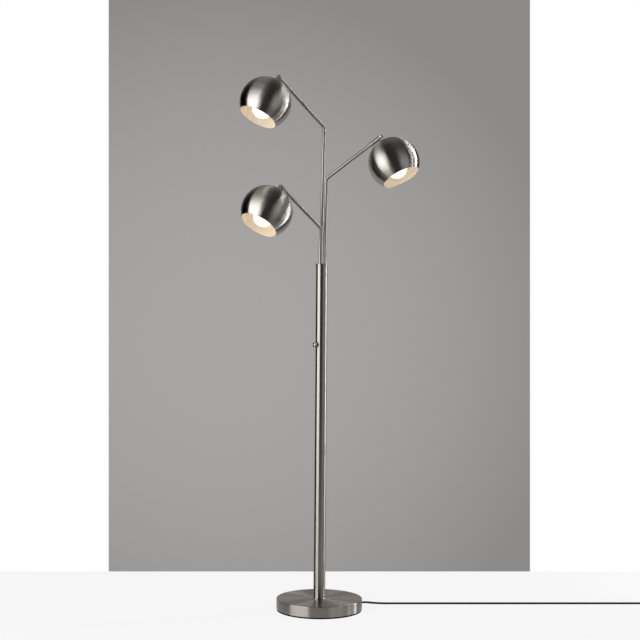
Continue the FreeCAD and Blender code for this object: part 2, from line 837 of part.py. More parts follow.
def build_cord(start):
    """The free lead: along the floor, then put away in a coil that ends in the plug."""
    floor = cord_radius
    last_way = coil_heading(0)
    last_way.z = 0
    last_way.normalize()
    coil_start = Vector(start.x + COIL_START[0], start.y + COIL_START[1], floor)
    coil_end = coil_start - last_way * cord_diameter
    route = [start, start + exit_way * cord_straight]
    route += [Vector(start.x + ahead, start.y + aside, floor + low) for ahead, aside, low in CORD_ROUTE]
    route.append(coil_end)
    path, radii = rounded_path(route)
    run = tube(path, cord_radius, route[0], exit_way)
    print("cord run: radii", [round(r, 1) for r in radii], "length", round(path.Length, 1))
    print("cord run: volume", round(run.Volume, 1),
          "section x length", round(math.pi * cord_radius ** 2 * path.Length, 1))
    save("cord_run", run)

    total = coil_turns_in + coil_turns_climb + coil_turns_out
    centre = coil_start - coil_point(0)
    quarter = 0.25
    knots = [k * quarter for k in range(int(total / quarter) + 1)]
    headings = [coil_heading(t) for t in knots]
    headings[0] = last_way
    headings[-1].z = 0
    headings[-1].normalize()
    edges = [Part.LineSegment(coil_end, coil_start).toShape()]
    for k in range(len(knots) - 1):
        here = centre + coil_point(knots[k])
        there = centre + coil_point(knots[k + 1])
        edges += biarc(here, headings[k], there, headings[k + 1])
    last = centre + coil_point(knots[-1])
    end = last + headings[-1] * cord_diameter
    edges.append(Part.LineSegment(last, end).toShape())
    coil_path = Part.Wire(edges)
    coil = tube(coil_path, cord_radius, coil_end, last_way)
    line = coil_path.discretize(Number=600)
    apart = int(600 * 4 * cord_diameter / coil_path.Length)
    print("coil: length", round(coil_path.Length, 1), "volume", round(coil.Volume, 1),
          "section x length", round(math.pi * cord_radius ** 2 * coil_path.Length, 1),
          "least gap", round(least_gap(line, cord_radius, apart), 2))
    save("cord_coil", coil)
    build_plug(end, headings[-1])


def build_plug(at, way):
    """Two-blade plug: a ribbed neck and a waisted body, modelled along +Z."""
    neck_length = plug_neck_length
    neck = Part.makeCylinder(cord_radius + plug_neck_wall, neck_length)
    waist = neck_length + plug_shoulder_length
    sections = []
    for z, share in ((neck_length, plug_root_share), (waist, plug_waist_share),
                     (waist + plug_waist_length, plug_waist_share),
                     (neck_length + plug_length - plug_face_length, 1.0),
                     (neck_length + plug_length, 1.0)):
        w, t = plug_width * share / 2, plug_thickness * share / 2
        sections.append(rounded_outline(w, t, plug_corner_share * t, z))
    body = Part.makeLoft(sections, True, True).fuse(neck).removeSplitter()
    face = neck_length + plug_length
    blades = []
    for side in (-1, 1):
        blade = Part.makeBox(blade_thickness, blade_width, blade_length,
                             Vector(side * blade_spacing / 2 - blade_thickness / 2, -blade_width / 2, face))
        blades.append(placed(blade, at, way.cross(Z_AXIS), way))
    save("plug_body", placed(body, at, way.cross(Z_AXIS), way))
    save("plug_blades", *blades)


def rounded_outline(w, t, corner, z):
    """A closed outline 2w by 2t with round corners, at height z."""
    edges = []
    s = corner * chamfer_share
    corners = [(w, t), (-w, t), (-w, -t), (w, -t)]
    ways = [((0, -1), (-1, 0)), ((1, 0), (0, -1)), ((0, 1), (1, 0)), ((-1, 0), (0, 1))]
    starts, ends = [], []
    for (x, y), ((ax, ay), (bx, by)) in zip(corners, ways):
        start = Vector(x + ax * corner, y + ay * corner, z)
        end = Vector(x + bx * corner, y + by * corner, z)
        middle = Vector(x - math.copysign(s, x), y - math.copysign(s, y), z)
        starts.append(start)
        ends.append(end)
        edges.append(Part.Arc(start, middle, end).toShape())
    wire = []
    for k in range(4):
        wire.append(edges[k])
        wire.append(Part.LineSegment(ends[k], starts[(k + 1) % 4]).toShape())
    return Part.Wire(wire)


# ---------------------------------------------------------------- build
build_base()
build_pole()
build_switch()
for arm in ARMS:
    build_arm(arm)
    build_head(arm)
build_cord(build_lead())
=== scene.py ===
# %% [markdown]
# # A tree floor lamp, piece by piece
# The lamp's solids arrive ready made and ready placed, in metres: Z is up and Y points
# away from the viewer. This lesson dresses them. Small hidden pieces keep their solids and
# get a finish. The pieces that the eye rests on, such as the round shades, the pole and the
# base, are turned again as fine smooth meshes, because polished metal shows every facet.

# %% load the lamp's frame
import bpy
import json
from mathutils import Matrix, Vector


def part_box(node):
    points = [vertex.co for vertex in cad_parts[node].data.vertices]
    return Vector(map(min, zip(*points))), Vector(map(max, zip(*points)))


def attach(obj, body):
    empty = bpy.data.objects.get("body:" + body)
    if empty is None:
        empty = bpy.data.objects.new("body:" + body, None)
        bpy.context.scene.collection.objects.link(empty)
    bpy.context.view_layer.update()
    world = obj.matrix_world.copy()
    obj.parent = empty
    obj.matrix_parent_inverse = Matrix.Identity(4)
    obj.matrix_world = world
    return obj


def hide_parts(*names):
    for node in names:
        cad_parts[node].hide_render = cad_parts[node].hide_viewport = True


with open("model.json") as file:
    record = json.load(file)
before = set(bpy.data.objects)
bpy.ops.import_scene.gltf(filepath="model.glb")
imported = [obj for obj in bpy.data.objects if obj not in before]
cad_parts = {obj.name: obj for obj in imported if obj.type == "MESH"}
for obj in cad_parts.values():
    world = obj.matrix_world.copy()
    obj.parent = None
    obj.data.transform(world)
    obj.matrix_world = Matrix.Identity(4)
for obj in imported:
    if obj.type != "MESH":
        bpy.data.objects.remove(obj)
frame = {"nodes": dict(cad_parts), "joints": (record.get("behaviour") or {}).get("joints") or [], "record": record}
print("solids loaded", len(frame["nodes"]))

# %% [markdown]
# ## Tools and sizes
# Meshes are shaped with bmesh's operators, and places are worked out with vectors and
# matrices. Sizes are written in millimetres, as on a drawing, and one factor turns them to metres.

# %% tools and sizes
import json
import math

import bmesh
import bpy
from mathutils import Matrix, Vector

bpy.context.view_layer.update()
joints = {j["name"]: j for j in frame["joints"]}
ARMS = ("top", "right", "left")
MM = 0.001

# %% [markdown]
# ## The camera
# A long lens stands almost four metres off, level, at the height of the lamp's middle.
# It is turned a little about its own line of sight, because the lamp leans in the picture
# while the floor and the lead stay level.

# %% camera
camera_distance = 3815 * MM
camera_height = 860 * MM
camera_left = -3.9 * MM
camera_turn = math.radians(0.43)
picture_width_px = 640
focal_length_px = 1284
camera_data = bpy.data.cameras.new("camera")
camera_data.sensor_width = 36
camera_data.lens = focal_length_px / picture_width_px * camera_data.sensor_width
camera = bpy.data.objects.new("camera", camera_data)
camera.matrix_world = (
    Matrix.Translation((camera_left, -camera_distance, camera_height))
    @ Matrix.Rotation(math.radians(90), 4, "X")
    @ Matrix.Rotation(camera_turn, 4, "Z")
)
bpy.context.scene.collection.objects.link(camera)
bpy.context.scene.camera = camera
print("lens", round(camera_data.lens, 1), "mm")

# %% [markdown]
# ## The mains lead
# A 6 mm round vinyl lead leaves a bushing low in the base, drops to the floor and runs
# dead straight out of the picture. What is left of its two metres is put away in a small
# coil. The line is one smooth spline through the same points as the solid's route, so it
# bends as a real lead does.

# %% the lead's line
cord_diameter = 6 * MM
cord_radius = cord_diameter / 2
exit_azimuth = math.radians(27)
exit_way = Vector((math.cos(exit_azimuth), math.sin(exit_azimuth), 0))
bushing_end = 145 * MM
exit_height = 7.5 * MM
lead_out = 12 * MM
cord_exit = exit_way * bushing_end + Vector((0, 0, exit_height))
floor_start = Vector((cord_exit.x, cord_exit.y, cord_radius))
# ahead, aside and up from the bushing's tip; the floor points by the corners are doubled
steps_on_floor = [(31.3, 7.6, 1.8), (60.8, 9.8, 0), (92.0, 10.9, 0), (840.8, 37.0, 0), (880.8, 38.4, 0)]
route = [cord_exit, cord_exit + exit_way * lead_out]
route += [floor_start + Vector(step) * MM for step in steps_on_floor]

coil_start = floor_start + Vector((926.8, 38.2, 0)) * MM
coil_outer = 41 * MM
coil_pitch = 7.2 * MM
coil_rise = 7 * MM
turns_in, turns_climb, turns_out = 2.0, 0.5, 2.5
points_a_turn = 16


def coil_point(turn):
    """A point of the coil after so many turns: in, up a layer, and out again."""
    climb_end = turns_in + turns_climb
    inner = coil_outer - coil_pitch * turns_in
    if turn <= turns_in:
        radius, height = coil_outer - coil_pitch * turn, 0
    elif turn < climb_end:
        share = (turn - turns_in) / turns_climb
        radius = inner - coil_pitch * turns_climb / 4 * (1 - (2 * share - 1) ** 2)
        height = coil_rise * (3 * share**2 - 2 * share**3)
    else:
        radius, height = inner + coil_pitch * (turn - climb_end), coil_rise
    angle = math.tau * turn - math.pi / 2
    return Vector((radius * math.cos(angle), radius * math.sin(angle), height))


coil_middle = coil_start - coil_point(0)
all_turns = turns_in + turns_climb + turns_out
route.append(coil_start - Vector((cord_diameter, 0, 0)))
for k in range(int(all_turns * points_a_turn) + 1):
    route.append(coil_middle + coil_point(k / points_a_turn))
last_way = (route[-1] - route[-2]).normalized()
last_way.z = 0
route.append(route[-1] + last_way.normalized() * cord_diameter)
route_length = sum((b - a).length for a, b in zip(route, route[1:]))
print("lead's points", len(route), "runs added up", round(route_length, 3), "m")

# %% [markdown]
# ## The lead's vinyl sheath
# A real lead is pressed out round and stays round in every bend. A curve with a thickness
# does the same, where a swept mesh would have to be twisted by hand. The thickness sits in
# the points' radius, because a curve's box is padded by that radius and not by the bevel.

# %% the lead as a round tube
cord_curve = bpy.data.curves.new("mains_lead", "CURVE")
cord_curve.dimensions = "3D"
cord_curve.bevel_depth = 1.0
cord_curve.bevel_resolution = 5
cord_curve.resolution_u = 8
cord_curve.use_fill_caps = True
spline = cord_curve.splines.new("NURBS")
spline.points.add(len(route) - 1)
for place, point in zip(spline.points, route):
    place.co = (*point, 1)
    place.radius = cord_radius
spline.order_u = 3
spline.use_endpoint_u = True
mains_lead = bpy.data.objects.new("mains_lead", cord_curve)
bpy.context.scene.collection.objects.link(mains_lead)
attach(mains_lead, "stand")
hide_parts("cord_run", "cord_coil")
print("lead laid from", [round(v, 3) for v in cord_exit])

# %% [markdown]
# ## Where things are
# Each arm's line, tilt pin and pivot come from the joints, so the fine meshes land exactly
# on the solids. The shade's own axis is the arm's direction turned about the tilt pin.

# %% frames of the arms and heads
inward_tilt_limit = 108  # degrees from the arm's way to the shade's at the tilt's upper limit
arm_rise = math.radians(36)


def arm_places(arm):
    """The upright, elbow, pivot, outward way, tilt axis and shade's downward way of one arm."""
    swing, roll, tilt = (joints[f"{arm}_{w}"] for w in ("arm_swing", "shade_roll", "shade_tilt"))
    way = Vector(roll["axis"]).normalized()
    pin = Vector(tilt["axis"]).normalized()
    pivot = Vector(tilt["pos_m"])
    up = Vector(swing["axis"]).normalized()
    foot = Vector(swing["pos_m"])
    outward = way - up * way.dot(up)
    elbow = pivot - way * (pivot - foot).dot(outward) / outward.dot(outward)
    angle = math.radians(inward_tilt_limit - tilt["range_deg"][1])
    shade_way = way * math.cos(angle) + pin.cross(way) * math.sin(angle)
    return {
        "foot": foot, "up": up, "elbow": elbow, "pivot": pivot, "way": way, "pin": pin, "down": shade_way,
    }


places = {arm: arm_places(arm) for arm in ARMS}


def frame_at(origin, x_axis, z_axis):
    """A matrix that carries a piece modelled about Z to its place on the lamp."""
    z = z_axis.normalized()
    x = x_axis.normalized()
    y = z.cross(x)
    return Matrix.Translation(origin) @ Matrix((x, y, z)).transposed().to_4x4()


for arm in ARMS:
    print(arm, "pivot", [round(v, 3) for v in places[arm]["pivot"]])

# %% [markdown]
# ## Arcs in an outline
# An outline is drawn as on paper, from straight lines and arcs. An arc is given by three
# points that it goes through, and the helper walks along it in even steps, so that a
# rounded edge has only the points that its roundness needs.

# %% arcs
corner_share = 1 - math.sqrt(0.5)  # how far the middle of a rounded corner lies in from each side


def curved(start, middle, end, steps):
    """Points along the circle through three (radius, height) points, without the first."""
    ax, ay, bx, by, cx, cy = *start, *middle, *end
    d = 2 * (ax * (by - cy) + bx * (cy - ay) + cx * (ay - by))
    ux = ((ax**2 + ay**2) * (by - cy) + (bx**2 + by**2) * (cy - ay) + (cx**2 + cy**2) * (ay - by)) / d
    uy = ((ax**2 + ay**2) * (cx - bx) + (bx**2 + by**2) * (ax - cx) + (cx**2 + cy**2) * (bx - ax)) / d
    radius = math.hypot(ax - ux, ay - uy)
    angle = [math.atan2(p[1] - uy, p[0] - ux) for p in (start, middle, end)]
    sweep = (angle[2] - angle[0]) % math.tau
    if (angle[1] - angle[0]) % math.tau > sweep:
        sweep -= math.tau
    turns = [angle[0] + sweep * k / steps for k in range(1, steps + 1)]
    return [(ux + radius * math.cos(t), uy + radius * math.sin(t)) for t in turns]


print("a rounded corner comes in by", round(corner_share, 3), "of its radius")

# %% [markdown]
# ## From mesh to piece
# Every new piece is finished in the same way: shaded smooth but for its real edges, given
# its finish, seated on the body that carries it, and named for the solid it stands for.

# %% finishing a piece
sharp_edge = math.radians(32)


def finish_piece(name, bm, body, material, replaced=()):
    """Makes an object of a bmesh, smooth but for its sharp edges, and seats it on its body."""
    mesh = bpy.data.meshes.new(name)
    bm.to_mesh(mesh)
    bm.free()
    mesh.shade_smooth()
    mesh.set_sharp_from_angle(angle=sharp_edge)
    piece = bpy.data.objects.new(name, mesh)
    bpy.context.scene.collection.objects.link(piece)
    mesh.materials.append(material)
    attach(piece, body)
    if replaced:
        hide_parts(*replaced)
    return piece


print("edges sharper than", round(math.degrees(sharp_edge)), "degrees stay crisp")

# %% [markdown]
# ## One helper for turned pieces
# Nearly everything on this lamp was spun or turned on a lathe. The helper draws half an
# outline in radius and height, spins it a full turn and closes the seam. It also writes a
# UV map whose first direction runs along the outline: the brushing goes round the piece,
# so light smears across it, along the outline.

# %% turned pieces
uv_unit = 0.1  # metres along the outline for one unit of U
tiny = 1e-7  # points closer than this are one


def lay_uv(bm, run):
    """Writes UVs from a run stored on the points: U along the outline, V round the piece."""
    uv = bm.loops.layers.uv.new("brush")
    for face in bm.faces:
        middle = face.calc_center_median()
        here = math.atan2(middle.y, middle.x)
        for loop in face.loops:
            co = loop.vert.co
            flat = math.hypot(co.x, co.y)
            turn = math.atan2(co.y, co.x) if flat > tiny else here
            turn = here + (turn - here + math.pi) % math.tau - math.pi
            loop[uv].uv = (loop.vert[run] / uv_unit, turn / math.tau)


def turned(outline, steps):
    """A bmesh spun from an outline of (radius, height) points in metres."""
    bm = bmesh.new()
    run = bm.verts.layers.float.new("run")
    ring, total = [], 0.0
    for i, (radius, height) in enumerate(outline):
        v = bm.verts.new((max(radius, 0.0), 0, height))
        if i:
            total += (v.co - ring[-1].co).length
        v[run] = total
        ring.append(v)
    edges = [bm.edges.new(pair) for pair in zip(ring, ring[1:])]
    bmesh.ops.spin(
        bm, geom=ring + edges, cent=(0, 0, 0), axis=(0, 0, 1),
        angle=math.tau, steps=steps, use_merge=True,
    )
    bmesh.ops.remove_doubles(bm, verts=bm.verts, dist=tiny)
    bmesh.ops.recalc_face_normals(bm, faces=bm.faces)
    lay_uv(bm, run)
    return bm


print("one unit of U is", uv_unit, "m of outline")

# %% [markdown]
# ## One helper for materials
# A material is a small graph of nodes. One function adds a node with its settings and
# wires, and colours are given as the hex values that a paint shop would use, turned to
# linear light by one function.

# %% material tools
def linear(hex_colour):
    """The linear colour of an sRGB hex value."""
    parts = [int(hex_colour[i:i + 2], 16) / 255 for i in (1, 3, 5)]
    return tuple(c / 12.92 if c <= 0.04045 else ((c + 0.055) / 1.055) ** 2.4 for c in parts) + (1.0,)


def add(tree, kind, settings=None, **inputs):
    """Adds a node; an input given as another node's socket is wired, else it is set."""
    node = tree.nodes.new(kind)
    for key, value in (settings or {}).items():
        setattr(node, key, value)
    for key, value in inputs.items():
        by_number = key[0] == "i" and key[1:].isdigit()
        socket = node.inputs[int(key[1:]) if by_number else key.replace("_", " ")]
        if isinstance(value, bpy.types.NodeSocket):
            tree.links.new(value, socket)
        else:
            socket.default_value = value
    return node


def new_material(name):
    """An empty material and its graph."""
    material = bpy.data.materials.new(name)
    material.use_nodes = True
    material.node_tree.nodes.clear()
    return material, material.node_tree


def give(tree, shader):
    """Wires a finished shader to the material's output."""
    add(tree, "ShaderNodeOutputMaterial", Surface=shader)


print("middle grey", round(linear("#808080")[0], 3), "in linear light")

# %% [markdown]
# ## Brushed nickel
# Steel spun or drawn, then nickel plated and brushed round with a fine belt. The scratches
# are about a twentieth of a millimetre apart, far too fine to show here, so the pattern is
# drawn as soft streaks about a centimetre wide along the brushing. The scratches smear light
# across themselves, which is what the anisotropic setting does along the UV's first way:
# that is why each shade carries long bands of light from its crown to its rim. A bump would
# sparkle at this distance, so the streaks only change the tone and the roughness.

# %% brushed nickel
streaks_a_turn = 4.0
finest_rub, roughest_rub = 0.28, 0.33


def brushed_nickel(name, colour, dark, smear, streak_mm):
    """Nickel brushed round its piece: two tones of streaks, and light smeared across them."""
    material, tree = new_material(name)
    uv = add(tree, "ShaderNodeUVMap", {"uv_map": "brush"})
    streaks_a_unit = uv_unit / MM / streak_mm
    stretch = add(
        tree, "ShaderNodeMapping", Vector=uv.outputs[0], Scale=(streaks_a_unit, streaks_a_turn, 1.0),
    )
    streaks = add(
        tree, "ShaderNodeTexNoise", Vector=stretch.outputs[0], Scale=1.0, Detail=3.0, Roughness=0.55,
    )
    rough = add(
        tree, "ShaderNodeMapRange", Value=streaks.outputs["Fac"],
        From_Min=0.3, From_Max=0.7, To_Min=finest_rub, To_Max=roughest_rub,
    )
    tone = add(
        tree, "ShaderNodeMix", {"data_type": "RGBA"}, Factor=streaks.outputs["Fac"],
        i6=linear(dark), i7=linear(colour),
    )
    tangent = add(tree, "ShaderNodeTangent", {"direction_type": "UV_MAP", "uv_map": "brush"})
    shader = add(
        tree, "ShaderNodeBsdfPrincipled", Base_Color=tone.outputs[2], Metallic=1.0,
        Roughness=rough.outputs[0], Anisotropic=smear, Tangent=tangent.outputs[0],
    )
    give(tree, shader.outputs[0])
    return material


shade_nickel = brushed_nickel("brushed_nickel_shade", "#c6c3bd", "#b8b4ae", 1.0, 9.0)
pole_nickel = brushed_nickel("brushed_nickel_pole", "#b9b5ae", "#aea9a2", 1.0, 9.0)
base_nickel = brushed_nickel("brushed_nickel_base", "#b4afa7", "#a9a49c", 1.0, 9.0)
# the base's top: the same nickel as the side, painted a shade darker as painted shade
base_top_shaded_nickel = brushed_nickel("brushed_nickel_base_top_painted_shade", "#b2ada6", "#a5a099", 1.0, 9.0)
arm_nickel = brushed_nickel("brushed_nickel_arm", "#bdb9b3", "#b4b0aa", 0.95, 12.0)
print("brushed finishes", [m.name for m in bpy.data.materials if m.name.startswith("brushed")])

# %% [markdown]
# ## Plain finishes
# Enamel inside the shades, moulded rubber and vinyl, zinc plate, brass, iron, aluminium
# and phenolic plastic. Each gets a little unevenness at the size that the real one has.

# %% plain finishes
grains_a_spot = 4


def grained(name, colour, dark, metallic, roughness, grain_mm, depth_mm, specular=0.5):
    """A finish with soft spots of two tones and a fine grain."""
    material, tree = new_material(name)
    where = add(tree, "ShaderNodeTexCoord")
    grain = add(
        tree, "ShaderNodeTexNoise", Vector=where.outputs["Object"],
        Scale=1 / MM / grain_mm / grains_a_spot, Detail=4.0, Roughness=0.6,
    )
    tone = add(
        tree, "ShaderNodeMix", {"data_type": "RGBA"}, Factor=grain.outputs["Fac"],
        i6=linear(dark), i7=linear(colour),
    )
    bump = add(
        tree, "ShaderNodeBump", Height=grain.outputs["Fac"], Strength=0.3, Distance=depth_mm * MM,
    )
    shader = add(
        tree, "ShaderNodeBsdfPrincipled", Base_Color=tone.outputs[2], Metallic=metallic,
        Roughness=roughness, Specular_IOR_Level=specular, Normal=bump.outputs[0],
    )
    give(tree, shader.outputs[0])
    return material


# stoved enamel: warm white, with a soft gloss
enamel_cream = grained("stoved_enamel_cream", "#efe8db", "#e9dfce", 0.0, 0.35, 6, 0.01)
# moulded rubber: black and dull, painted nearly black so that it also stands for the shadow under the base; the
# pad shows as a dark line
rubber_black_and_shadow = grained("moulded_rubber_and_painted_shadow_black", "#0c0c0c", "#070707", 0.0, 0.8, 1.0, 0.05, 0.15)
# extruded vinyl: black, with a soft sheen
vinyl_black = grained("extruded_vinyl_black", "#242425", "#1a1a1b", 0.0, 0.5, 2.0, 0.02)
# zinc plate: pale and a little cloudy
zinc_plate = grained("zinc_plated_steel", "#b6b8b6", "#9c9f9e", 1.0, 0.35, 2.0, 0.01)
# drawn brass: yellow and smooth
brass_plain = grained("drawn_brass", "#c8a45a", "#b08c48", 1.0, 0.3, 2.0, 0.01)
# cast iron: dark and rough from its sand mould
iron_cast = grained("cast_iron_grey", "#3a3a3b", "#262627", 0.3, 0.8, 1.5, 0.15)
# moulded phenolic plastic: brown black, with a low gloss
phenolic_black = grained("moulded_phenolic_black", "#201e1d", "#161514", 0.0, 0.4, 3.0, 0.01)
# rolled aluminium: light and bright
aluminium_rolled = grained("rolled_aluminium", "#cfd0d0", "#babcbc", 1.0, 0.3, 2.0, 0.01)
print("plain finishes made, materials now", len(bpy.data.materials))

# %% [markdown]
# ## Opal glass
# The bulb's glass is coated white inside, so the whole ball glows evenly and hides the
# wire. A glow on the surface does that without a lamp inside; it fades a little at the
# ball's edge, where the coating is seen at a slant.

# %% opal glass
edge_level = 0.8


def opal_glow(name, colour, strength):
    """Opal glass lit from inside: brightest face on, a little softer at its edge."""
    material, tree = new_material(name)
    edge = add(tree, "ShaderNodeLayerWeight", Blend=0.3)
    fade = add(
        tree, "ShaderNodeMapRange", Value=edge.outputs["Facing"], From_Min=0.0, From_Max=1.0,
        To_Min=strength, To_Max=edge_level * strength,
    )
    shader = add(
        tree, "ShaderNodeBsdfPrincipled", Base_Color=linear("#f6f2ea"), Roughness=0.3,
        Emission_Color=linear(colour), Emission_Strength=fade.outputs[0],
    )
    give(tree, shader.outputs[0])
    return material


opal_glass = opal_glow("opal_glass_lit", "#fff4e4", 1.45)
print("materials", len(bpy.data.materials))

# %% [markdown]
# ## The shades
# Each shade is one sheet of steel spun over a round former, cut off square below and
# rolled to a small lip. Outside and inside are two surfaces of one closed shell: brushed
# nickel out, cream enamel in. The outline goes down the outside, round the lip and back up.

# %% shades
shade_radius = 75 * MM
shade_wall = 1 * MM
shade_hang = 89 * MM
shade_low = 49.16 * MM
crown_hole = 5.1 * MM
outside_steps, lip_steps = 40, 6
shade_sides = 128


def shade_outline():
    """Down the outside from the crown's hole, round the lip and back up the inside."""
    outer, inner = shade_radius, shade_radius - shade_wall
    rim_out = math.sqrt(outer**2 - shade_low**2)
    rim_in = math.sqrt(inner**2 - shade_low**2)
    middle = -shade_hang
    rim = middle - shade_low
    top_out = (crown_hole, middle + math.sqrt(outer**2 - crown_hole**2))
    top_in = (crown_hole, middle + math.sqrt(inner**2 - crown_hole**2))
    lip = (rim_out - rim_in) / 2
    points = [top_out]
    points += curved(top_out, (outer, middle), (rim_out, rim), outside_steps)
    points += curved(points[-1], (rim_out - lip, rim - lip), (rim_in, rim), lip_steps)
    points += curved(points[-1], (inner, middle), top_in, outside_steps)
    points.append(top_out)
    return points


def build_shade(arm):
    """One shade with nickel outside, enamel inside, hung from its tilt pin."""
    bm = turned(shade_outline(), shade_sides)
    mid_wall = shade_radius - shade_wall / 2
    for face in bm.faces:
        centre = face.calc_center_median() + Vector((0, 0, shade_hang))
        face.material_index = 1 if centre.length < mid_wall else 0
    at = places[arm]
    bm.transform(frame_at(at["pivot"], at["pin"], -at["down"]))
    piece = finish_piece(
        f"round_shade_{arm}", bm, f"{arm}_head", shade_nickel, [f"shade_{arm}"],
    )
    piece.data.materials.append(enamel_cream)
    return piece


for arm in ARMS:
    shade = build_shade(arm)
    print(shade.name, len(shade.data.polygons), "faces")

# %% [markdown]
# ## The bulbs
# A pear-shaped opal bulb: a short neck, a cone and a ball that meet without a corner, so the
# outline is two straight lines and one arc that starts where the cone touches the ball.

# %% bulbs
bulb_ball = 30 * MM
bulb_neck = 14 * MM
bulb_neck_length = 9 * MM
bulb_length = 110 * MM
bulb_cap_radius = 13 * MM
bulb_cap_length = 24 * MM
bulb_cap_tuck = 0.98  # the glass starts just inside the metal cap
cone_steps, ball_steps = 6, 32
bulb_sides = 64


def bulb_outline():
    """From the cap down the neck and the cone, then round the ball to its tip."""
    tip = -(shade_hang + shade_low)
    base = tip + bulb_length
    top = base - bulb_cap_length
    neck_end = top - bulb_neck_length
    middle = tip + bulb_ball
    gap = math.hypot(bulb_neck, neck_end - middle)
    touch = math.atan2(bulb_neck, neck_end - middle) + math.acos(bulb_ball / gap)
    start = (bulb_ball * math.sin(touch), middle + bulb_ball * math.cos(touch))
    points = [(0, top), (bulb_cap_radius * bulb_cap_tuck, top)]
    points += [
        (
            bulb_neck + (start[0] - bulb_neck) * k / cone_steps,
            neck_end + (start[1] - neck_end) * k / cone_steps,
        )
        for k in range(cone_steps + 1)
    ]
    for k in range(1, ball_steps + 1):
        angle = touch + (math.pi - touch) * k / ball_steps
        points.append((bulb_ball * math.sin(angle), middle + bulb_ball * math.cos(angle)))
    return points


for arm in ARMS:
    bm = turned(bulb_outline(), bulb_sides)
    at = places[arm]
    bm.transform(frame_at(at["pivot"], at["pin"], -at["down"]))
    finish_piece(f"opal_bulb_{arm}", bm, f"{arm}_head", opal_glass, [f"bulb_{arm}"])
print("bulb outline", len(bulb_outline()), "points")

# %% [markdown]
# ## The pole
# Three lengths of tube that screw together. Each is turned with a tiny bevel at its ends, so
# the joints show as hairlines; one long tube would lose them.

# %% pole
pole_radius = (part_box("pole_lower")[1].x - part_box("pole_lower")[0].x) / 2
pole_wall = 1.5 * MM
seam_bevel = 0.35 * MM
pole_length_steps = 24
pole_sides = 128


def pole_outline(low, high):
    """A length of tube from one height to another, bevelled outside at both ends."""
    outer, inner = pole_radius, pole_radius - pole_wall
    rows = [
        low + seam_bevel + (high - low - 2 * seam_bevel) * k / pole_length_steps
        for k in range(pole_length_steps + 1)
    ]
    return (
        [(inner, low), (outer - seam_bevel, low)]
        + [(outer, z) for z in rows]
        + [(outer - seam_bevel, high), (inner, high), (inner, low)]
    )


for node in ("pole_lower", "pole_middle", "pole_upper"):
    low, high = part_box(node)
    bm = turned(pole_outline(low.z, high.z), pole_sides)
    section = finish_piece(node + "_tube", bm, "stand", pole_nickel, [node])
    print(section.name, round(high.z - low.z, 4), "m")

# %% [markdown]
# ## The pole's cap
# A turned plug with a small lip closes the pole round the three arms. Its top edge is
# rounded, as a lathe leaves it, so that it catches a thin line of light.

# %% cap of the pole
low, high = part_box("pole_cap")
cap_radius = (high.x - low.x) / 2
pole_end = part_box("pole_upper")[1].z
edge = 0.9 * MM
corner = edge * corner_share
slip = 0.1 * MM  # room left where one piece slides into another
edge_steps = 6
spigot = pole_radius - pole_wall - slip
outline = [(0, low.z), (spigot, low.z), (spigot, pole_end), (cap_radius, pole_end)]
outline.append((cap_radius, high.z - edge))
outline += curved(
    outline[-1], (cap_radius - corner, high.z - corner), (cap_radius - edge, high.z), edge_steps,
)
outline.append((0, high.z))
bm = turned(outline, pole_sides)
finish_piece("pole_cap_turned", bm, "stand", pole_nickel, ["pole_cap"])
print("cap", round(2 * cap_radius, 4), "m across")

# %% [markdown]
# ## The foot ring
# A thin ring hides the joint of pole and base. Its outer edge is rounded over the upper
# half, so it is turned from four straight lines and one quarter circle.

# %% foot ring
low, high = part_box("foot_ring")
ring_radius = (high.x - low.x) / 2
half = (high.z - low.z) / 2
corner = half * corner_share
ring_sides = 96
outline = [(pole_radius, low.z), (ring_radius, low.z), (ring_radius, low.z + half)]
outline += curved(
    outline[-1], (ring_radius - corner, high.z - corner), (ring_radius - half, high.z), edge_steps,
)
outline += [(pole_radius, high.z), (pole_radius, low.z)]
bm = turned(outline, ring_sides)
finish_piece("foot_ring_turned", bm, "stand", pole_nickel, ["foot_ring"])
print("ring", round(2 * ring_radius, 4), "m across")

# %% [markdown]
# ## The base
# A shallow pan of sheet steel pressed over the iron weight, brushed in circles on its top
# and round its side, with a crisp edge. The top takes a copy of the same nickel, painted a
# shade darker than the side as painted shade. A black rubber pad, which keeps its solid,
# shows as a dark line below the pan, painted darker still to stand for the shadow under it.

# %% base cover
low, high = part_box("base_cover")
cover_radius = (high.x - low.x) / 2
cover_wall = 1.5 * MM
edge = 0.8 * MM
corner = edge * corner_share
hole = 5.1 * MM
level_slack = 0.01 * MM
flat_steps, rim_steps, side_steps = 30, 5, 8
base_sides = 192
outline = [(hole, high.z - cover_wall), (hole, high.z)]
outline += [
    (hole + (cover_radius - edge - hole) * k / flat_steps, high.z) for k in range(1, flat_steps + 1)
]
outline += curved(
    outline[-1], (cover_radius - corner, high.z - corner), (cover_radius, high.z - edge), rim_steps,
)
outline += [
    (cover_radius, high.z - edge + (low.z - high.z + edge) * k / side_steps)
    for k in range(1, side_steps + 1)
]
outline += [
    (cover_radius - cover_wall, low.z),
    (cover_radius - cover_wall, high.z - cover_wall),
    (hole, high.z - cover_wall),
]
bm = turned(outline, base_sides)
# the top's faces take the darker copy, a painted shade
for face in bm.faces:
    face.material_index = 1 if face.calc_center_median().z > high.z - level_slack else 0
pan = finish_piece("base_cover_pan", bm, "stand", base_nickel, ["base_cover"])
pan.data.materials.append(base_top_shaded_nickel)
print("base", round(2 * cover_radius, 4), "m across")

# %% [markdown]
# ## Drawing out a tube
# A tube starts as a ring of points and is drawn out along its line, ring after ring, as
# metal tube is drawn through a die. The operator makes each new ring and its faces.

# %% drawing a tube
straight_steps = 10


def extrude_ring(bm, edges):
    """Draws a ring of edges out into a new ring and gives the new one's points and edges."""
    made = bmesh.ops.extrude_edge_only(bm, edges=edges)["geom"]
    verts = [g for g in made if isinstance(g, bmesh.types.BMVert)]
    ring = [g for g in made if isinstance(g, bmesh.types.BMEdge) and all(v in verts for v in g.verts)]
    return verts, ring


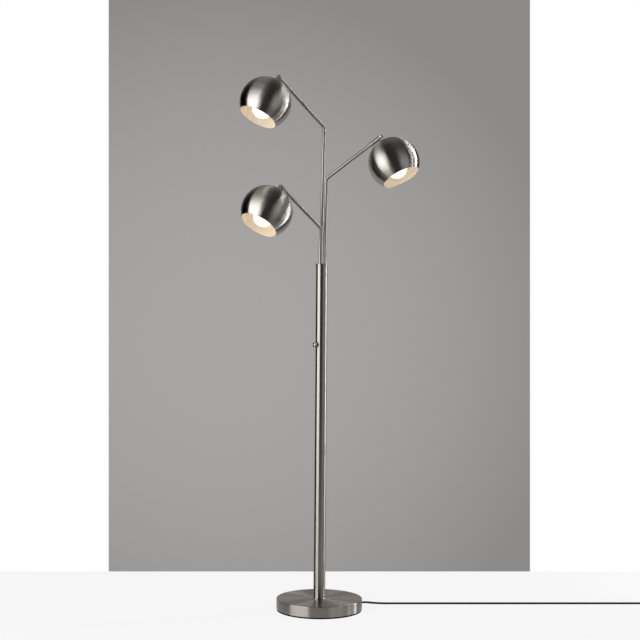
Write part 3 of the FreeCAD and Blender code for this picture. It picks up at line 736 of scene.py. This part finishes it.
def draw_straight(bm, edges, line):
    """Draws a ring on along a straight line in even steps."""
    for _ in range(straight_steps):
        verts, edges = extrude_ring(bm, edges)
        bmesh.ops.translate(bm, verts=verts, vec=line / straight_steps)
    return edges


print("rings to a straight", straight_steps)

# %% [markdown]
# ## Which way the light smears on a tube
# The belt goes round a thin tube, so light smears along it, through the bend too. The UV
# map tells the metal which way that is: U is the run along the tube's line, worked out
# from where a point lies: on the upright, in the bend or beyond it.

# %% UVs of a tube
arm_radius = 5 * MM
arm_bend = 18 * MM
bend_turn = math.pi / 2 - arm_rise


def lay_tube_uv(bm, start, bend_low, bend_high, at, level):
    """U is the run along the tube's line, V the turn round it."""
    uv = bm.loops.layers.uv.new("brush")
    up, way = at["up"], at["way"]
    side = level.cross(up)
    arc = arm_bend * bend_turn
    centre = bend_low + level * arm_bend
    upright = (bend_low - start).length
    end_slack = 1e-6

    def run_and_turn(co):
        """How far along the tube's line a point lies, and how far round it."""
        climb = (co - start).dot(up)
        if climb <= upright + end_slack and (co - start - up * climb).length < 2 * arm_radius:
            off = co - start
            return climb, math.atan2(off.dot(side), off.dot(level))
        along = (co - bend_high).dot(way)
        if along > -end_slack:
            off = co - bend_high
            return upright + arc + along, math.atan2(off.dot(side), off.dot(side.cross(way)) * -1)
        off = co - centre
        swept = math.atan2(off.dot(up), -off.dot(level))
        spoke = up * math.sin(swept) - level * math.cos(swept)
        inner = off - spoke * arm_bend
        return upright + arm_bend * swept, math.atan2(inner.dot(side), -inner.dot(spoke))

    for face in bm.faces:
        first = run_and_turn(face.loops[0].vert.co)[1]
        for loop in face.loops:
            run, turn = run_and_turn(loop.vert.co)
            turn = first + (turn - first + math.pi) % math.tau - math.pi
            loop[uv].uv = (run / uv_unit, turn / math.tau)


print("arms bend by", round(math.degrees(bend_turn)), "degrees")

# %% [markdown]
# ## The arms
# A length of 10 mm tube bent once. A ring of points is drawn up straight, spun about the
# bend's centre and drawn on along the arm, as a bender leaves it.

# %% arm tubes
bend_steps = 12
tube_sides = 40
tube_end_gap = 18.3 * MM  # from the tilt pin back to the tube's end inside the sleeve


def build_arm(arm):
    """One bent tube: up from its foot, round the bend, and on into the sleeve."""
    at = places[arm]
    up, way = at["up"], at["way"]
    level = (way - up * way.dot(up)).normalized()
    reach = arm_bend * math.tan(bend_turn / 2)
    start = at["foot"] + up * ((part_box(f"arm_tube_{arm}")[0].z - at["foot"].z) / up.z)
    bend_low = at["elbow"] - up * reach
    bend_high = at["elbow"] + way * reach
    end = at["pivot"] - way * tube_end_gap
    bm = bmesh.new()
    ring = bmesh.ops.create_circle(
        bm, cap_ends=False, segments=tube_sides, radius=arm_radius, matrix=frame_at(start, level, up)
    )["verts"]
    edges = list({e for v in ring for e in v.link_edges})
    edges = draw_straight(bm, edges, bend_low - start)
    axis = up.cross(level)
    for _ in range(bend_steps):
        verts, edges = extrude_ring(bm, edges)
        bmesh.ops.rotate(
            bm, verts=verts, cent=bend_low + level * arm_bend,
            matrix=Matrix.Rotation(bend_turn / bend_steps, 3, axis),
        )
    draw_straight(bm, edges, end - bend_high)
    bmesh.ops.holes_fill(bm, edges=[e for e in bm.edges if e.is_boundary], sides=0)
    bmesh.ops.recalc_face_normals(bm, faces=bm.faces)
    lay_tube_uv(bm, start, bend_low, bend_high, at, level)
    return finish_piece(
        f"bent_tube_{arm}", bm, f"{arm}_arm", arm_nickel, [f"arm_tube_{arm}"],
    )


for arm in ARMS:
    tube = build_arm(arm)
    print(tube.name, len(tube.data.polygons), "faces")

# %% [markdown]
# ## A saw cut
# A slot is sawn once the piece is turned, and so it is here: a block stands where the saw
# goes, and a boolean takes it away. The exact solver keeps the cut's edges clean.

# %% saw cut
def cut_away(piece, cutter):
    """Takes one mesh from another and keeps only the result."""
    modifier = piece.modifiers.new("cut", "BOOLEAN")
    modifier.operation = "DIFFERENCE"
    modifier.solver = "EXACT"
    modifier.object = cutter
    graph = bpy.context.evaluated_depsgraph_get()
    mesh = bpy.data.meshes.new_from_object(piece.evaluated_get(graph))
    piece.modifiers.clear()
    piece.data = mesh
    bpy.data.objects.remove(cutter)
    mesh.set_sharp_from_angle(angle=sharp_edge)


def loose_object(name, bm):
    """A plain object of a bmesh, for cutters and for the stage."""
    mesh = bpy.data.meshes.new(name)
    bm.to_mesh(mesh)
    bm.free()
    made = bpy.data.objects.new(name, mesh)
    bpy.context.scene.collection.objects.link(made)
    return made


print("saw cuts keep their edges crisp")

# %% [markdown]
# ## The sleeves
# The sleeve on the arm's end is turned with a round nose, then slotted into a fork for the
# tilt pin. It is cut and not built up, because the nose's curve runs on over both cheeks.

# %% sleeves
sleeve_radius = 6.5 * MM
sleeve_length = 40 * MM
fork_slot = 4.6 * MM
fork_depth = 9.5 * MM
cutter_room = 20 * MM  # how far the cutter stands out past the nose
cutter_width = 30 * MM
bore_depth = 12 * MM
soft = 0.6 * MM
soft_in = soft * 0.3
soft_steps, barrel_steps, nose_steps = 4, 12, 16
sleeve_sides = 64


def build_sleeve(arm):
    """One sleeve, turned about the arm's line and slotted along the tilt pin's cheeks."""
    at = places[arm]
    where = frame_at(at["pivot"], at["pin"], at["way"])
    outer = sleeve_radius
    bore = arm_radius + slip
    back = -sleeve_length
    points = [(bore, back + bore_depth), (bore, back), (outer - soft, back)]
    points += curved(points[-1], (outer - soft_in, back + soft_in), (outer, back + soft), soft_steps)
    points += [
        (outer, back + soft + (sleeve_length - soft) * k / barrel_steps) for k in range(1, barrel_steps + 1)
    ]
    for k in range(1, nose_steps + 1):
        angle = math.pi / 2 * k / nose_steps
        points.append((outer * math.cos(angle), outer * math.sin(angle)))
    points.append((0, back + bore_depth))
    points.append(points[0])
    bm = turned(points, sleeve_sides)
    bm.transform(where)
    sleeve = finish_piece(
        f"fork_sleeve_{arm}", bm, f"{arm}_sleeve", arm_nickel, [f"sleeve_{arm}"],
    )
    slot_bm = bmesh.new()
    bmesh.ops.create_cube(slot_bm, size=1)
    height = fork_depth + cutter_room
    bmesh.ops.scale(slot_bm, vec=(fork_slot, cutter_width, height), verts=slot_bm.verts)
    bmesh.ops.translate(slot_bm, vec=(0, 0, height / 2 - fork_depth), verts=slot_bm.verts)
    slot_bm.transform(where)
    cut_away(sleeve, loose_object("slot_cutter", slot_bm))
    return sleeve


for arm in ARMS:
    made = build_sleeve(arm)
    print(made.name, len(made.data.polygons), "faces")

# %% [markdown]
# ## The knuckles
# The knuckle's flat tongue sits in the sleeve's slot and tilts about the pin. Below it a
# round stem widens to a collar that rests on the shade's crown. The round part is turned;
# the tongue is a disc and a block that run into the stem, as on the cast piece.

# %% knuckles
collar_radius = 7 * MM
stem_radius = 4.5 * MM
crown = -(shade_hang - shade_radius)
seat_gap = 0.25 * MM
stem_top = -8.6 * MM
collar_top = -11.4 * MM
stem_edge, fillet, collar_edge = 0.5 * MM, 0.9 * MM, 0.5 * MM
edge_in = 0.15 * MM
tongue_half = 2.0 * MM
tongue_length = 9.0 * MM
tongue_bevel = 0.3 * MM
knuckle_steps = 4
knuckle_sides, tongue_sides = 64, 48


def build_knuckle(arm):
    """One knuckle: a flat tongue round the pin, then a round stem that widens to the collar."""
    at = places[arm]
    seat = crown - seat_gap
    points = [(0, stem_top), (stem_radius - stem_edge, stem_top)]
    points += curved(
        points[-1], (stem_radius - edge_in, stem_top - edge_in), (stem_radius, stem_top - stem_edge),
        knuckle_steps,
    )
    points += [(stem_radius, collar_top + fillet * 2 / 3)]
    points += curved(
        points[-1], (stem_radius + fillet / 3, collar_top + edge_in), (stem_radius + fillet, collar_top),
        knuckle_steps,
    )
    points += [(collar_radius - collar_edge, collar_top)]
    points += curved(
        points[-1], (collar_radius - edge_in, collar_top - edge_in),
        (collar_radius, collar_top - collar_edge), knuckle_steps,
    )
    points += [(collar_radius, seat - slip), (0, seat)]
    bm = turned(points, knuckle_sides)
    tongue = bmesh.new()
    bmesh.ops.create_cone(
        tongue, cap_ends=True, segments=tongue_sides, radius1=stem_radius, radius2=stem_radius,
        depth=2 * tongue_half, matrix=Matrix.Rotation(math.pi / 2, 4, "Y"),
    )
    bmesh.ops.bevel(
        tongue, geom=[e for e in tongue.edges if len(e.link_faces) == 2 and e.calc_face_angle() > 1],
        offset=tongue_bevel, affect="EDGES", segments=2, profile=0.5, material=-1,
    )
    block = bmesh.ops.create_cube(tongue, size=1)["verts"]
    bmesh.ops.scale(tongue, vec=(2 * tongue_half, 2 * stem_radius, tongue_length), verts=block)
    bmesh.ops.translate(tongue, vec=(0, 0, -tongue_length / 2), verts=block)
    mesh = bpy.data.meshes.new("tongue")
    tongue.to_mesh(mesh)
    tongue.free()
    bm.from_mesh(mesh)
    bm.transform(frame_at(at["pivot"], at["pin"], -at["down"]))
    return finish_piece(
        f"tilt_knuckle_{arm}", bm, f"{arm}_head", arm_nickel, [f"knuckle_{arm}"],
    )


for arm in ARMS:
    build_knuckle(arm)
print("knuckle collar", round(2 * collar_radius, 4), "m across")

# %% [markdown]
# ## The turn knob
# A small knob with a domed face stands out of the pole's front left, on a slim neck. On the
# lamp it is turned from bar, so here too it is one outline spun about its own axis.

# %% knob
knob_joint = joints["knob_turn"]
knob_way = Vector(knob_joint["axis"]).normalized()
knob_root = 20.2 * MM
knob_length = 11.4 * MM
knob_wide, knob_neck = 7 * MM, 4.5 * MM
neck_length = 1.4 * MM
face_edge, face_height, dome_rise = 2.2 * MM, 3 * MM, 0.7 * MM
curve_steps, shoulder_steps = 6, 4
knob_sides = 64
tip = knob_root + knob_length
face = knob_wide - face_edge
# radius and run along the knob's axis; each curve goes through a middle point to its end
points = [(0, knob_root), (knob_neck, knob_root), (knob_neck, knob_root + neck_length)]
flare = (knob_neck + 0.9 * MM, knob_root + 2.6 * MM), (knob_wide - 0.4 * MM, knob_root + 3.4 * MM)
points += curved(points[-1], *flare, curve_steps)
shoulder = (knob_wide - 0.05 * MM, knob_root + 3.8 * MM), (knob_wide, knob_root + 4.4 * MM)
points += curved(points[-1], *shoulder, shoulder_steps)
points += [(knob_wide, tip - face_height)]
points += curved(points[-1], (knob_wide - 0.6 * MM, tip - 1.4 * MM), (face, tip - dome_rise), curve_steps)
points += curved(points[-1], (face / 2, tip - 0.17 * MM), (0, tip), curve_steps)
bm = turned(points, knob_sides)
bm.transform(frame_at(Vector(knob_joint["pos_m"]), Vector((0, 0, 1)), knob_way))
finish_piece("turn_knob", bm, "knob", pole_nickel, ["switch_knob"])
print("knob tip", round(tip, 4), "m from the pole's middle")

# %% [markdown]
# ## Finishes for the pieces that keep their solids
# Lamp holders, screw caps, washers, weight and the like have the right shape already, so
# they only take their material. Brushed nickel needs a UV map that they lack, so the small
# nickel parts among them take plain zinc plate. The lead's curve gets its vinyl here too.

# %% finishes by slot
slot_of = {s["node"]: s["material_slot"] for s in frame["record"]["subparts"]}
finish_of_slot = {
    "brushed_nickel": zinc_plate,
    "shade_steel": zinc_plate,
    # the pad's near-black paint is real black rubber plus painted shadow
    "black_rubber": rubber_black_and_shadow,
    "cast_iron": iron_cast,
    "zinc_steel": zinc_plate,
    "phenolic": phenolic_black,
    "brass": brass_plain,
    "black_vinyl": vinyl_black,
    "bulb_aluminium": aluminium_rolled,
    "opal_glass": opal_glass,
}
for node, piece in frame["nodes"].items():
    piece.data.materials.clear()
    piece.data.materials.append(finish_of_slot[slot_of[node]])
cord_curve.materials.append(vinyl_black)
print("nodes finished", len(frame["nodes"]))

# %% [markdown]
# ## Paints for the floor and the wall
# A pale floor ends at a grey wall. The camera and the metal see each paint mostly as one
# level tone, so no lamp has to be turned up to make the floor white. The rest of it is
# plain diffuse paint, which keeps the lamp's shadow.

# %% stage paints
def plane(name, size_x, size_y, matrix, material):
    """A flat piece of the stage, drawn level and then carried to its place."""
    bm = bmesh.new()
    bmesh.ops.create_grid(bm, x_segments=1, y_segments=1, size=0.5)
    bmesh.ops.scale(bm, vec=(size_x, size_y, 1), verts=bm.verts)
    bm.transform(matrix)
    made = loose_object(name, bm)
    made.data.materials.append(material)
    return made


def seen_directly(tree, *kinds):
    """One where a ray of any of these kinds meets the surface, else nought."""
    path = add(tree, "ShaderNodeLightPath")
    seen = path.outputs[kinds[0]]
    for kind in kinds[1:]:
        both = add(tree, "ShaderNodeMath", {"operation": "MAXIMUM"}, i0=seen, i1=path.outputs[kind])
        seen = both.outputs[0]
    return seen


def stage_paint(name, paint_colour, tone, shown):
    """Diffuse paint that the camera and mirrors see mostly as a plain level tone."""
    material, tree = new_material(name)
    mirrored = seen_directly(tree, "Is Glossy Ray", "Is Transmission Ray")
    seen = seen_directly(tree, "Is Camera Ray")
    share = add(
        tree, "ShaderNodeMath", {"operation": "MULTIPLY_ADD"}, i0=seen, i1=shown, i2=mirrored,
    )
    paint = add(tree, "ShaderNodeBsdfDiffuse", Color=linear(paint_colour))
    glow = add(tree, "ShaderNodeEmission", Color=linear(tone), Strength=1.0)
    mixed = add(
        tree, "ShaderNodeMixShader", i0=share.outputs[0], i1=paint.outputs[0], i2=glow.outputs[0],
    )
    # the back lets rays through, so that the lamp can be looked at from behind the wall
    side = add(tree, "ShaderNodeNewGeometry")
    clear = add(tree, "ShaderNodeBsdfTransparent")
    sided = add(
        tree, "ShaderNodeMixShader", i0=side.outputs["Backfacing"], i1=mixed.outputs[0],
        i2=clear.outputs[0],
    )
    give(tree, sided.outputs[0])
    # the glow is only for what the camera and mirrors see, so it isn't counted as a lamp
    material.cycles.emission_sampling = "NONE"
    return material, tree, glow


floor_paint, floor_tree, floor_glow = stage_paint("floor_pale", "#ececed", "#ffffff", 0.87)
wall_paint, wall_tree, wall_glow = stage_paint("wall_grey", "#8c8b8a", "#a09e9d", 1.0)
print("stage paints", floor_paint.name, wall_paint.name)

# %% [markdown]
# ## How far the pale floor shows in the metal
# In a studio the white sheet ends soon before the lamp's foot, and a dark room begins. The
# metal mirrors that, so the floor's glow fades out beyond an oval patch for every ray but
# the camera's. A smaller floor would show its end in the picture.

# %% the pale patch
patch_middle = (0.0, -250 * MM)
patch_half = (400 * MM, 600 * MM)
where = add(floor_tree, "ShaderNodeTexCoord")
patch = add(
    floor_tree, "ShaderNodeMapping", Vector=where.outputs["Object"],
    Location=(-patch_middle[0] / patch_half[0], -patch_middle[1] / patch_half[1], 0),
    Scale=(1 / patch_half[0], 1 / patch_half[1], 0),
)
reach = add(floor_tree, "ShaderNodeVectorMath", {"operation": "LENGTH"}, i0=patch.outputs[0])
near_level, far_level = 0.5, 0.05
fade = add(
    floor_tree, "ShaderNodeMapRange", Value=reach.outputs["Value"], From_Min=0.75, From_Max=1.25,
    To_Min=near_level, To_Max=far_level,
)
level = add(
    floor_tree, "ShaderNodeMath", {"operation": "MAXIMUM"}, i0=fade.outputs[0],
    i1=seen_directly(floor_tree, "Is Camera Ray"),
)
floor_tree.links.new(level.outputs[0], floor_glow.inputs["Strength"])
print("pale floor in mirrors", patch_half, "m each way")

# %% [markdown]
# ## Floor and wall
# The wall slants away a little to the right and is only as wide as the grey in the picture,
# with white beyond both ends. It leans by as much as the camera is turned, so that its side
# edges run straight up the picture, and it starts a little below the floor to leave no gap.

# %% floor and wall
wall_gap = 576 * MM
wall_slant = math.atan(0.0385)
turn_to_wall = Matrix.Rotation(wall_slant, 4, "Z")
floor_width, floor_depth = 12, 6
plane(
    "floor", floor_width, floor_depth + wall_gap,
    turn_to_wall @ Matrix.Translation((0, (wall_gap - floor_depth) / 2, 0)), floor_paint,
)
wall_width, wall_height = 1442 * MM, 5
wall_shift, wall_sunk = 27 * MM, 20 * MM
wall_at = (
    turn_to_wall
    @ Matrix.Translation((0, wall_gap, 0))
    @ Matrix.Translation((wall_shift, 0, 0))
    @ Matrix.Rotation(-camera_turn, 4, "Y")
    @ Matrix.Translation((0, 0, wall_height / 2 - wall_sunk))
)
plane("wall", wall_width, wall_height, wall_at @ Matrix.Rotation(math.pi / 2, 4, "X"), wall_paint)
print("wall stands", wall_gap, "m behind the lamp")

# %% [markdown]
# ## The wall's soft light and shade
# The wall is lightest left of the lamp, at half its height, and falls off all round. A lamp
# behind the scenes would make the metal brighter too, so the fall is painted into the tone.

# %% light and shade on the wall
blob_centre = (-330 * MM, wall_gap, 790 * MM)
blob_reach = 1200 * MM
where = add(wall_tree, "ShaderNodeTexCoord")
off = add(
    wall_tree, "ShaderNodeVectorMath", {"operation": "DISTANCE"}, i0=where.outputs["Object"],
    i1=blob_centre,
)
share = add(
    wall_tree, "ShaderNodeMath", {"operation": "DIVIDE"}, i0=off.outputs["Value"], i1=blob_reach,
)
square = add(wall_tree, "ShaderNodeMath", {"operation": "POWER"}, i0=share.outputs[0], i1=2.0)
fall = add(
    wall_tree, "ShaderNodeMix", {"data_type": "RGBA"}, Factor=square.outputs[0],
    i6=linear("#a8a5a5"), i7=linear("#8d8a8a"),
)
wall_tree.links.new(fall.outputs[2], wall_glow.inputs["Color"])
print("light on the wall reaches", blob_reach, "m")

# %% [markdown]
# ## The lamps of the studio
# Metal only looks like metal when it has something to mirror. A wide soft window of light
# stands to the left and gives the broad band on each shade and on the base. Two tall thin
# strips to the right give the narrow bright lines, and a dim wide box before them lifts the
# metal in between. Two black flags, which only mirrors see, keep the metal's edges dark.

# %% lights
flag_cloth = grained("black_velvet", "#0c0c0c", "#060606", 0.0, 1.0, 3.0, 0.1, 0.0)


def soft_box(name, azimuth, distance, height, width, tall, radiance):
    """A plain white area light at an angle to the camera's right, facing the lamp."""
    light = bpy.data.lights.new(name, "AREA")
    light.shape = "RECTANGLE"
    light.size, light.size_y = width, tall
    light.energy = radiance * math.pi * width * tall
    made = bpy.data.objects.new(name, light)
    a = math.radians(azimuth)
    place = Vector((math.sin(a) * distance, -math.cos(a) * distance, height))
    facing = Vector((-math.sin(a), math.cos(a), 0))
    turn = facing.to_track_quat("-Z", "Y").to_matrix().to_4x4()
    made.matrix_world = Matrix.Translation(place) @ turn
    bpy.context.scene.collection.objects.link(made)


def flag(name, azimuth, distance, width, tall):
    """A black screen that only mirrors see."""
    a = math.radians(azimuth)
    made = plane(
        name, width, tall,
        Matrix.Translation((math.sin(a) * distance, -math.cos(a) * distance, tall / 2))
        @ Matrix.Rotation(a, 4, "Z") @ Matrix.Rotation(math.pi / 2, 4, "X"),
        flag_cloth,
    )
    made.visible_camera = False
    made.visible_diffuse = False
    made.visible_shadow = False


# azimuth in degrees, then distance, height of the middle, width, height and radiance
soft_box("window_left", -55, 2.2, 1.1, 2.2, 2.6, 2.7)
soft_box("strip_right", 109, 1.7, 1.6, 0.17, 3.2, 12.0)
soft_box("strip_thin", 85, 1.7, 1.6, 0.06, 3.2, 5.0)
soft_box("fill_right", 47, 3.0, 1.2, 2.1, 2.6, 0.50)
# azimuth in degrees, then distance, width and height
flag("flag_left", -117, 1.2, 1.3, 2.6)
flag("flag_right", 132, 1.2, 0.9, 2.6)
print("lights", len(bpy.data.lights))

# %% [markdown]
# ## The room
# The world is a dark grey room for the metal and for the light that fills the shadows, and
# plain white for the camera, as the paper round the picture is.

# %% world
world = bpy.data.worlds.new("studio")
world.use_nodes = True
tree = world.node_tree
tree.nodes.clear()
room = add(tree, "ShaderNodeBackground", Color=linear("#3a3938"), Strength=1.0)
seen_room = add(tree, "ShaderNodeBackground", Color=linear("#ffffff"), Strength=1.0)
mixed = add(
    tree, "ShaderNodeMixShader", i0=seen_directly(tree, "Is Camera Ray"), i1=room.outputs[0],
    i2=seen_room.outputs[0],
)
add(tree, "ShaderNodeOutputWorld", Surface=mixed.outputs[0])
bpy.context.scene.world = world
bpy.context.scene.view_settings.view_transform = "Standard"
print("world", world.name)
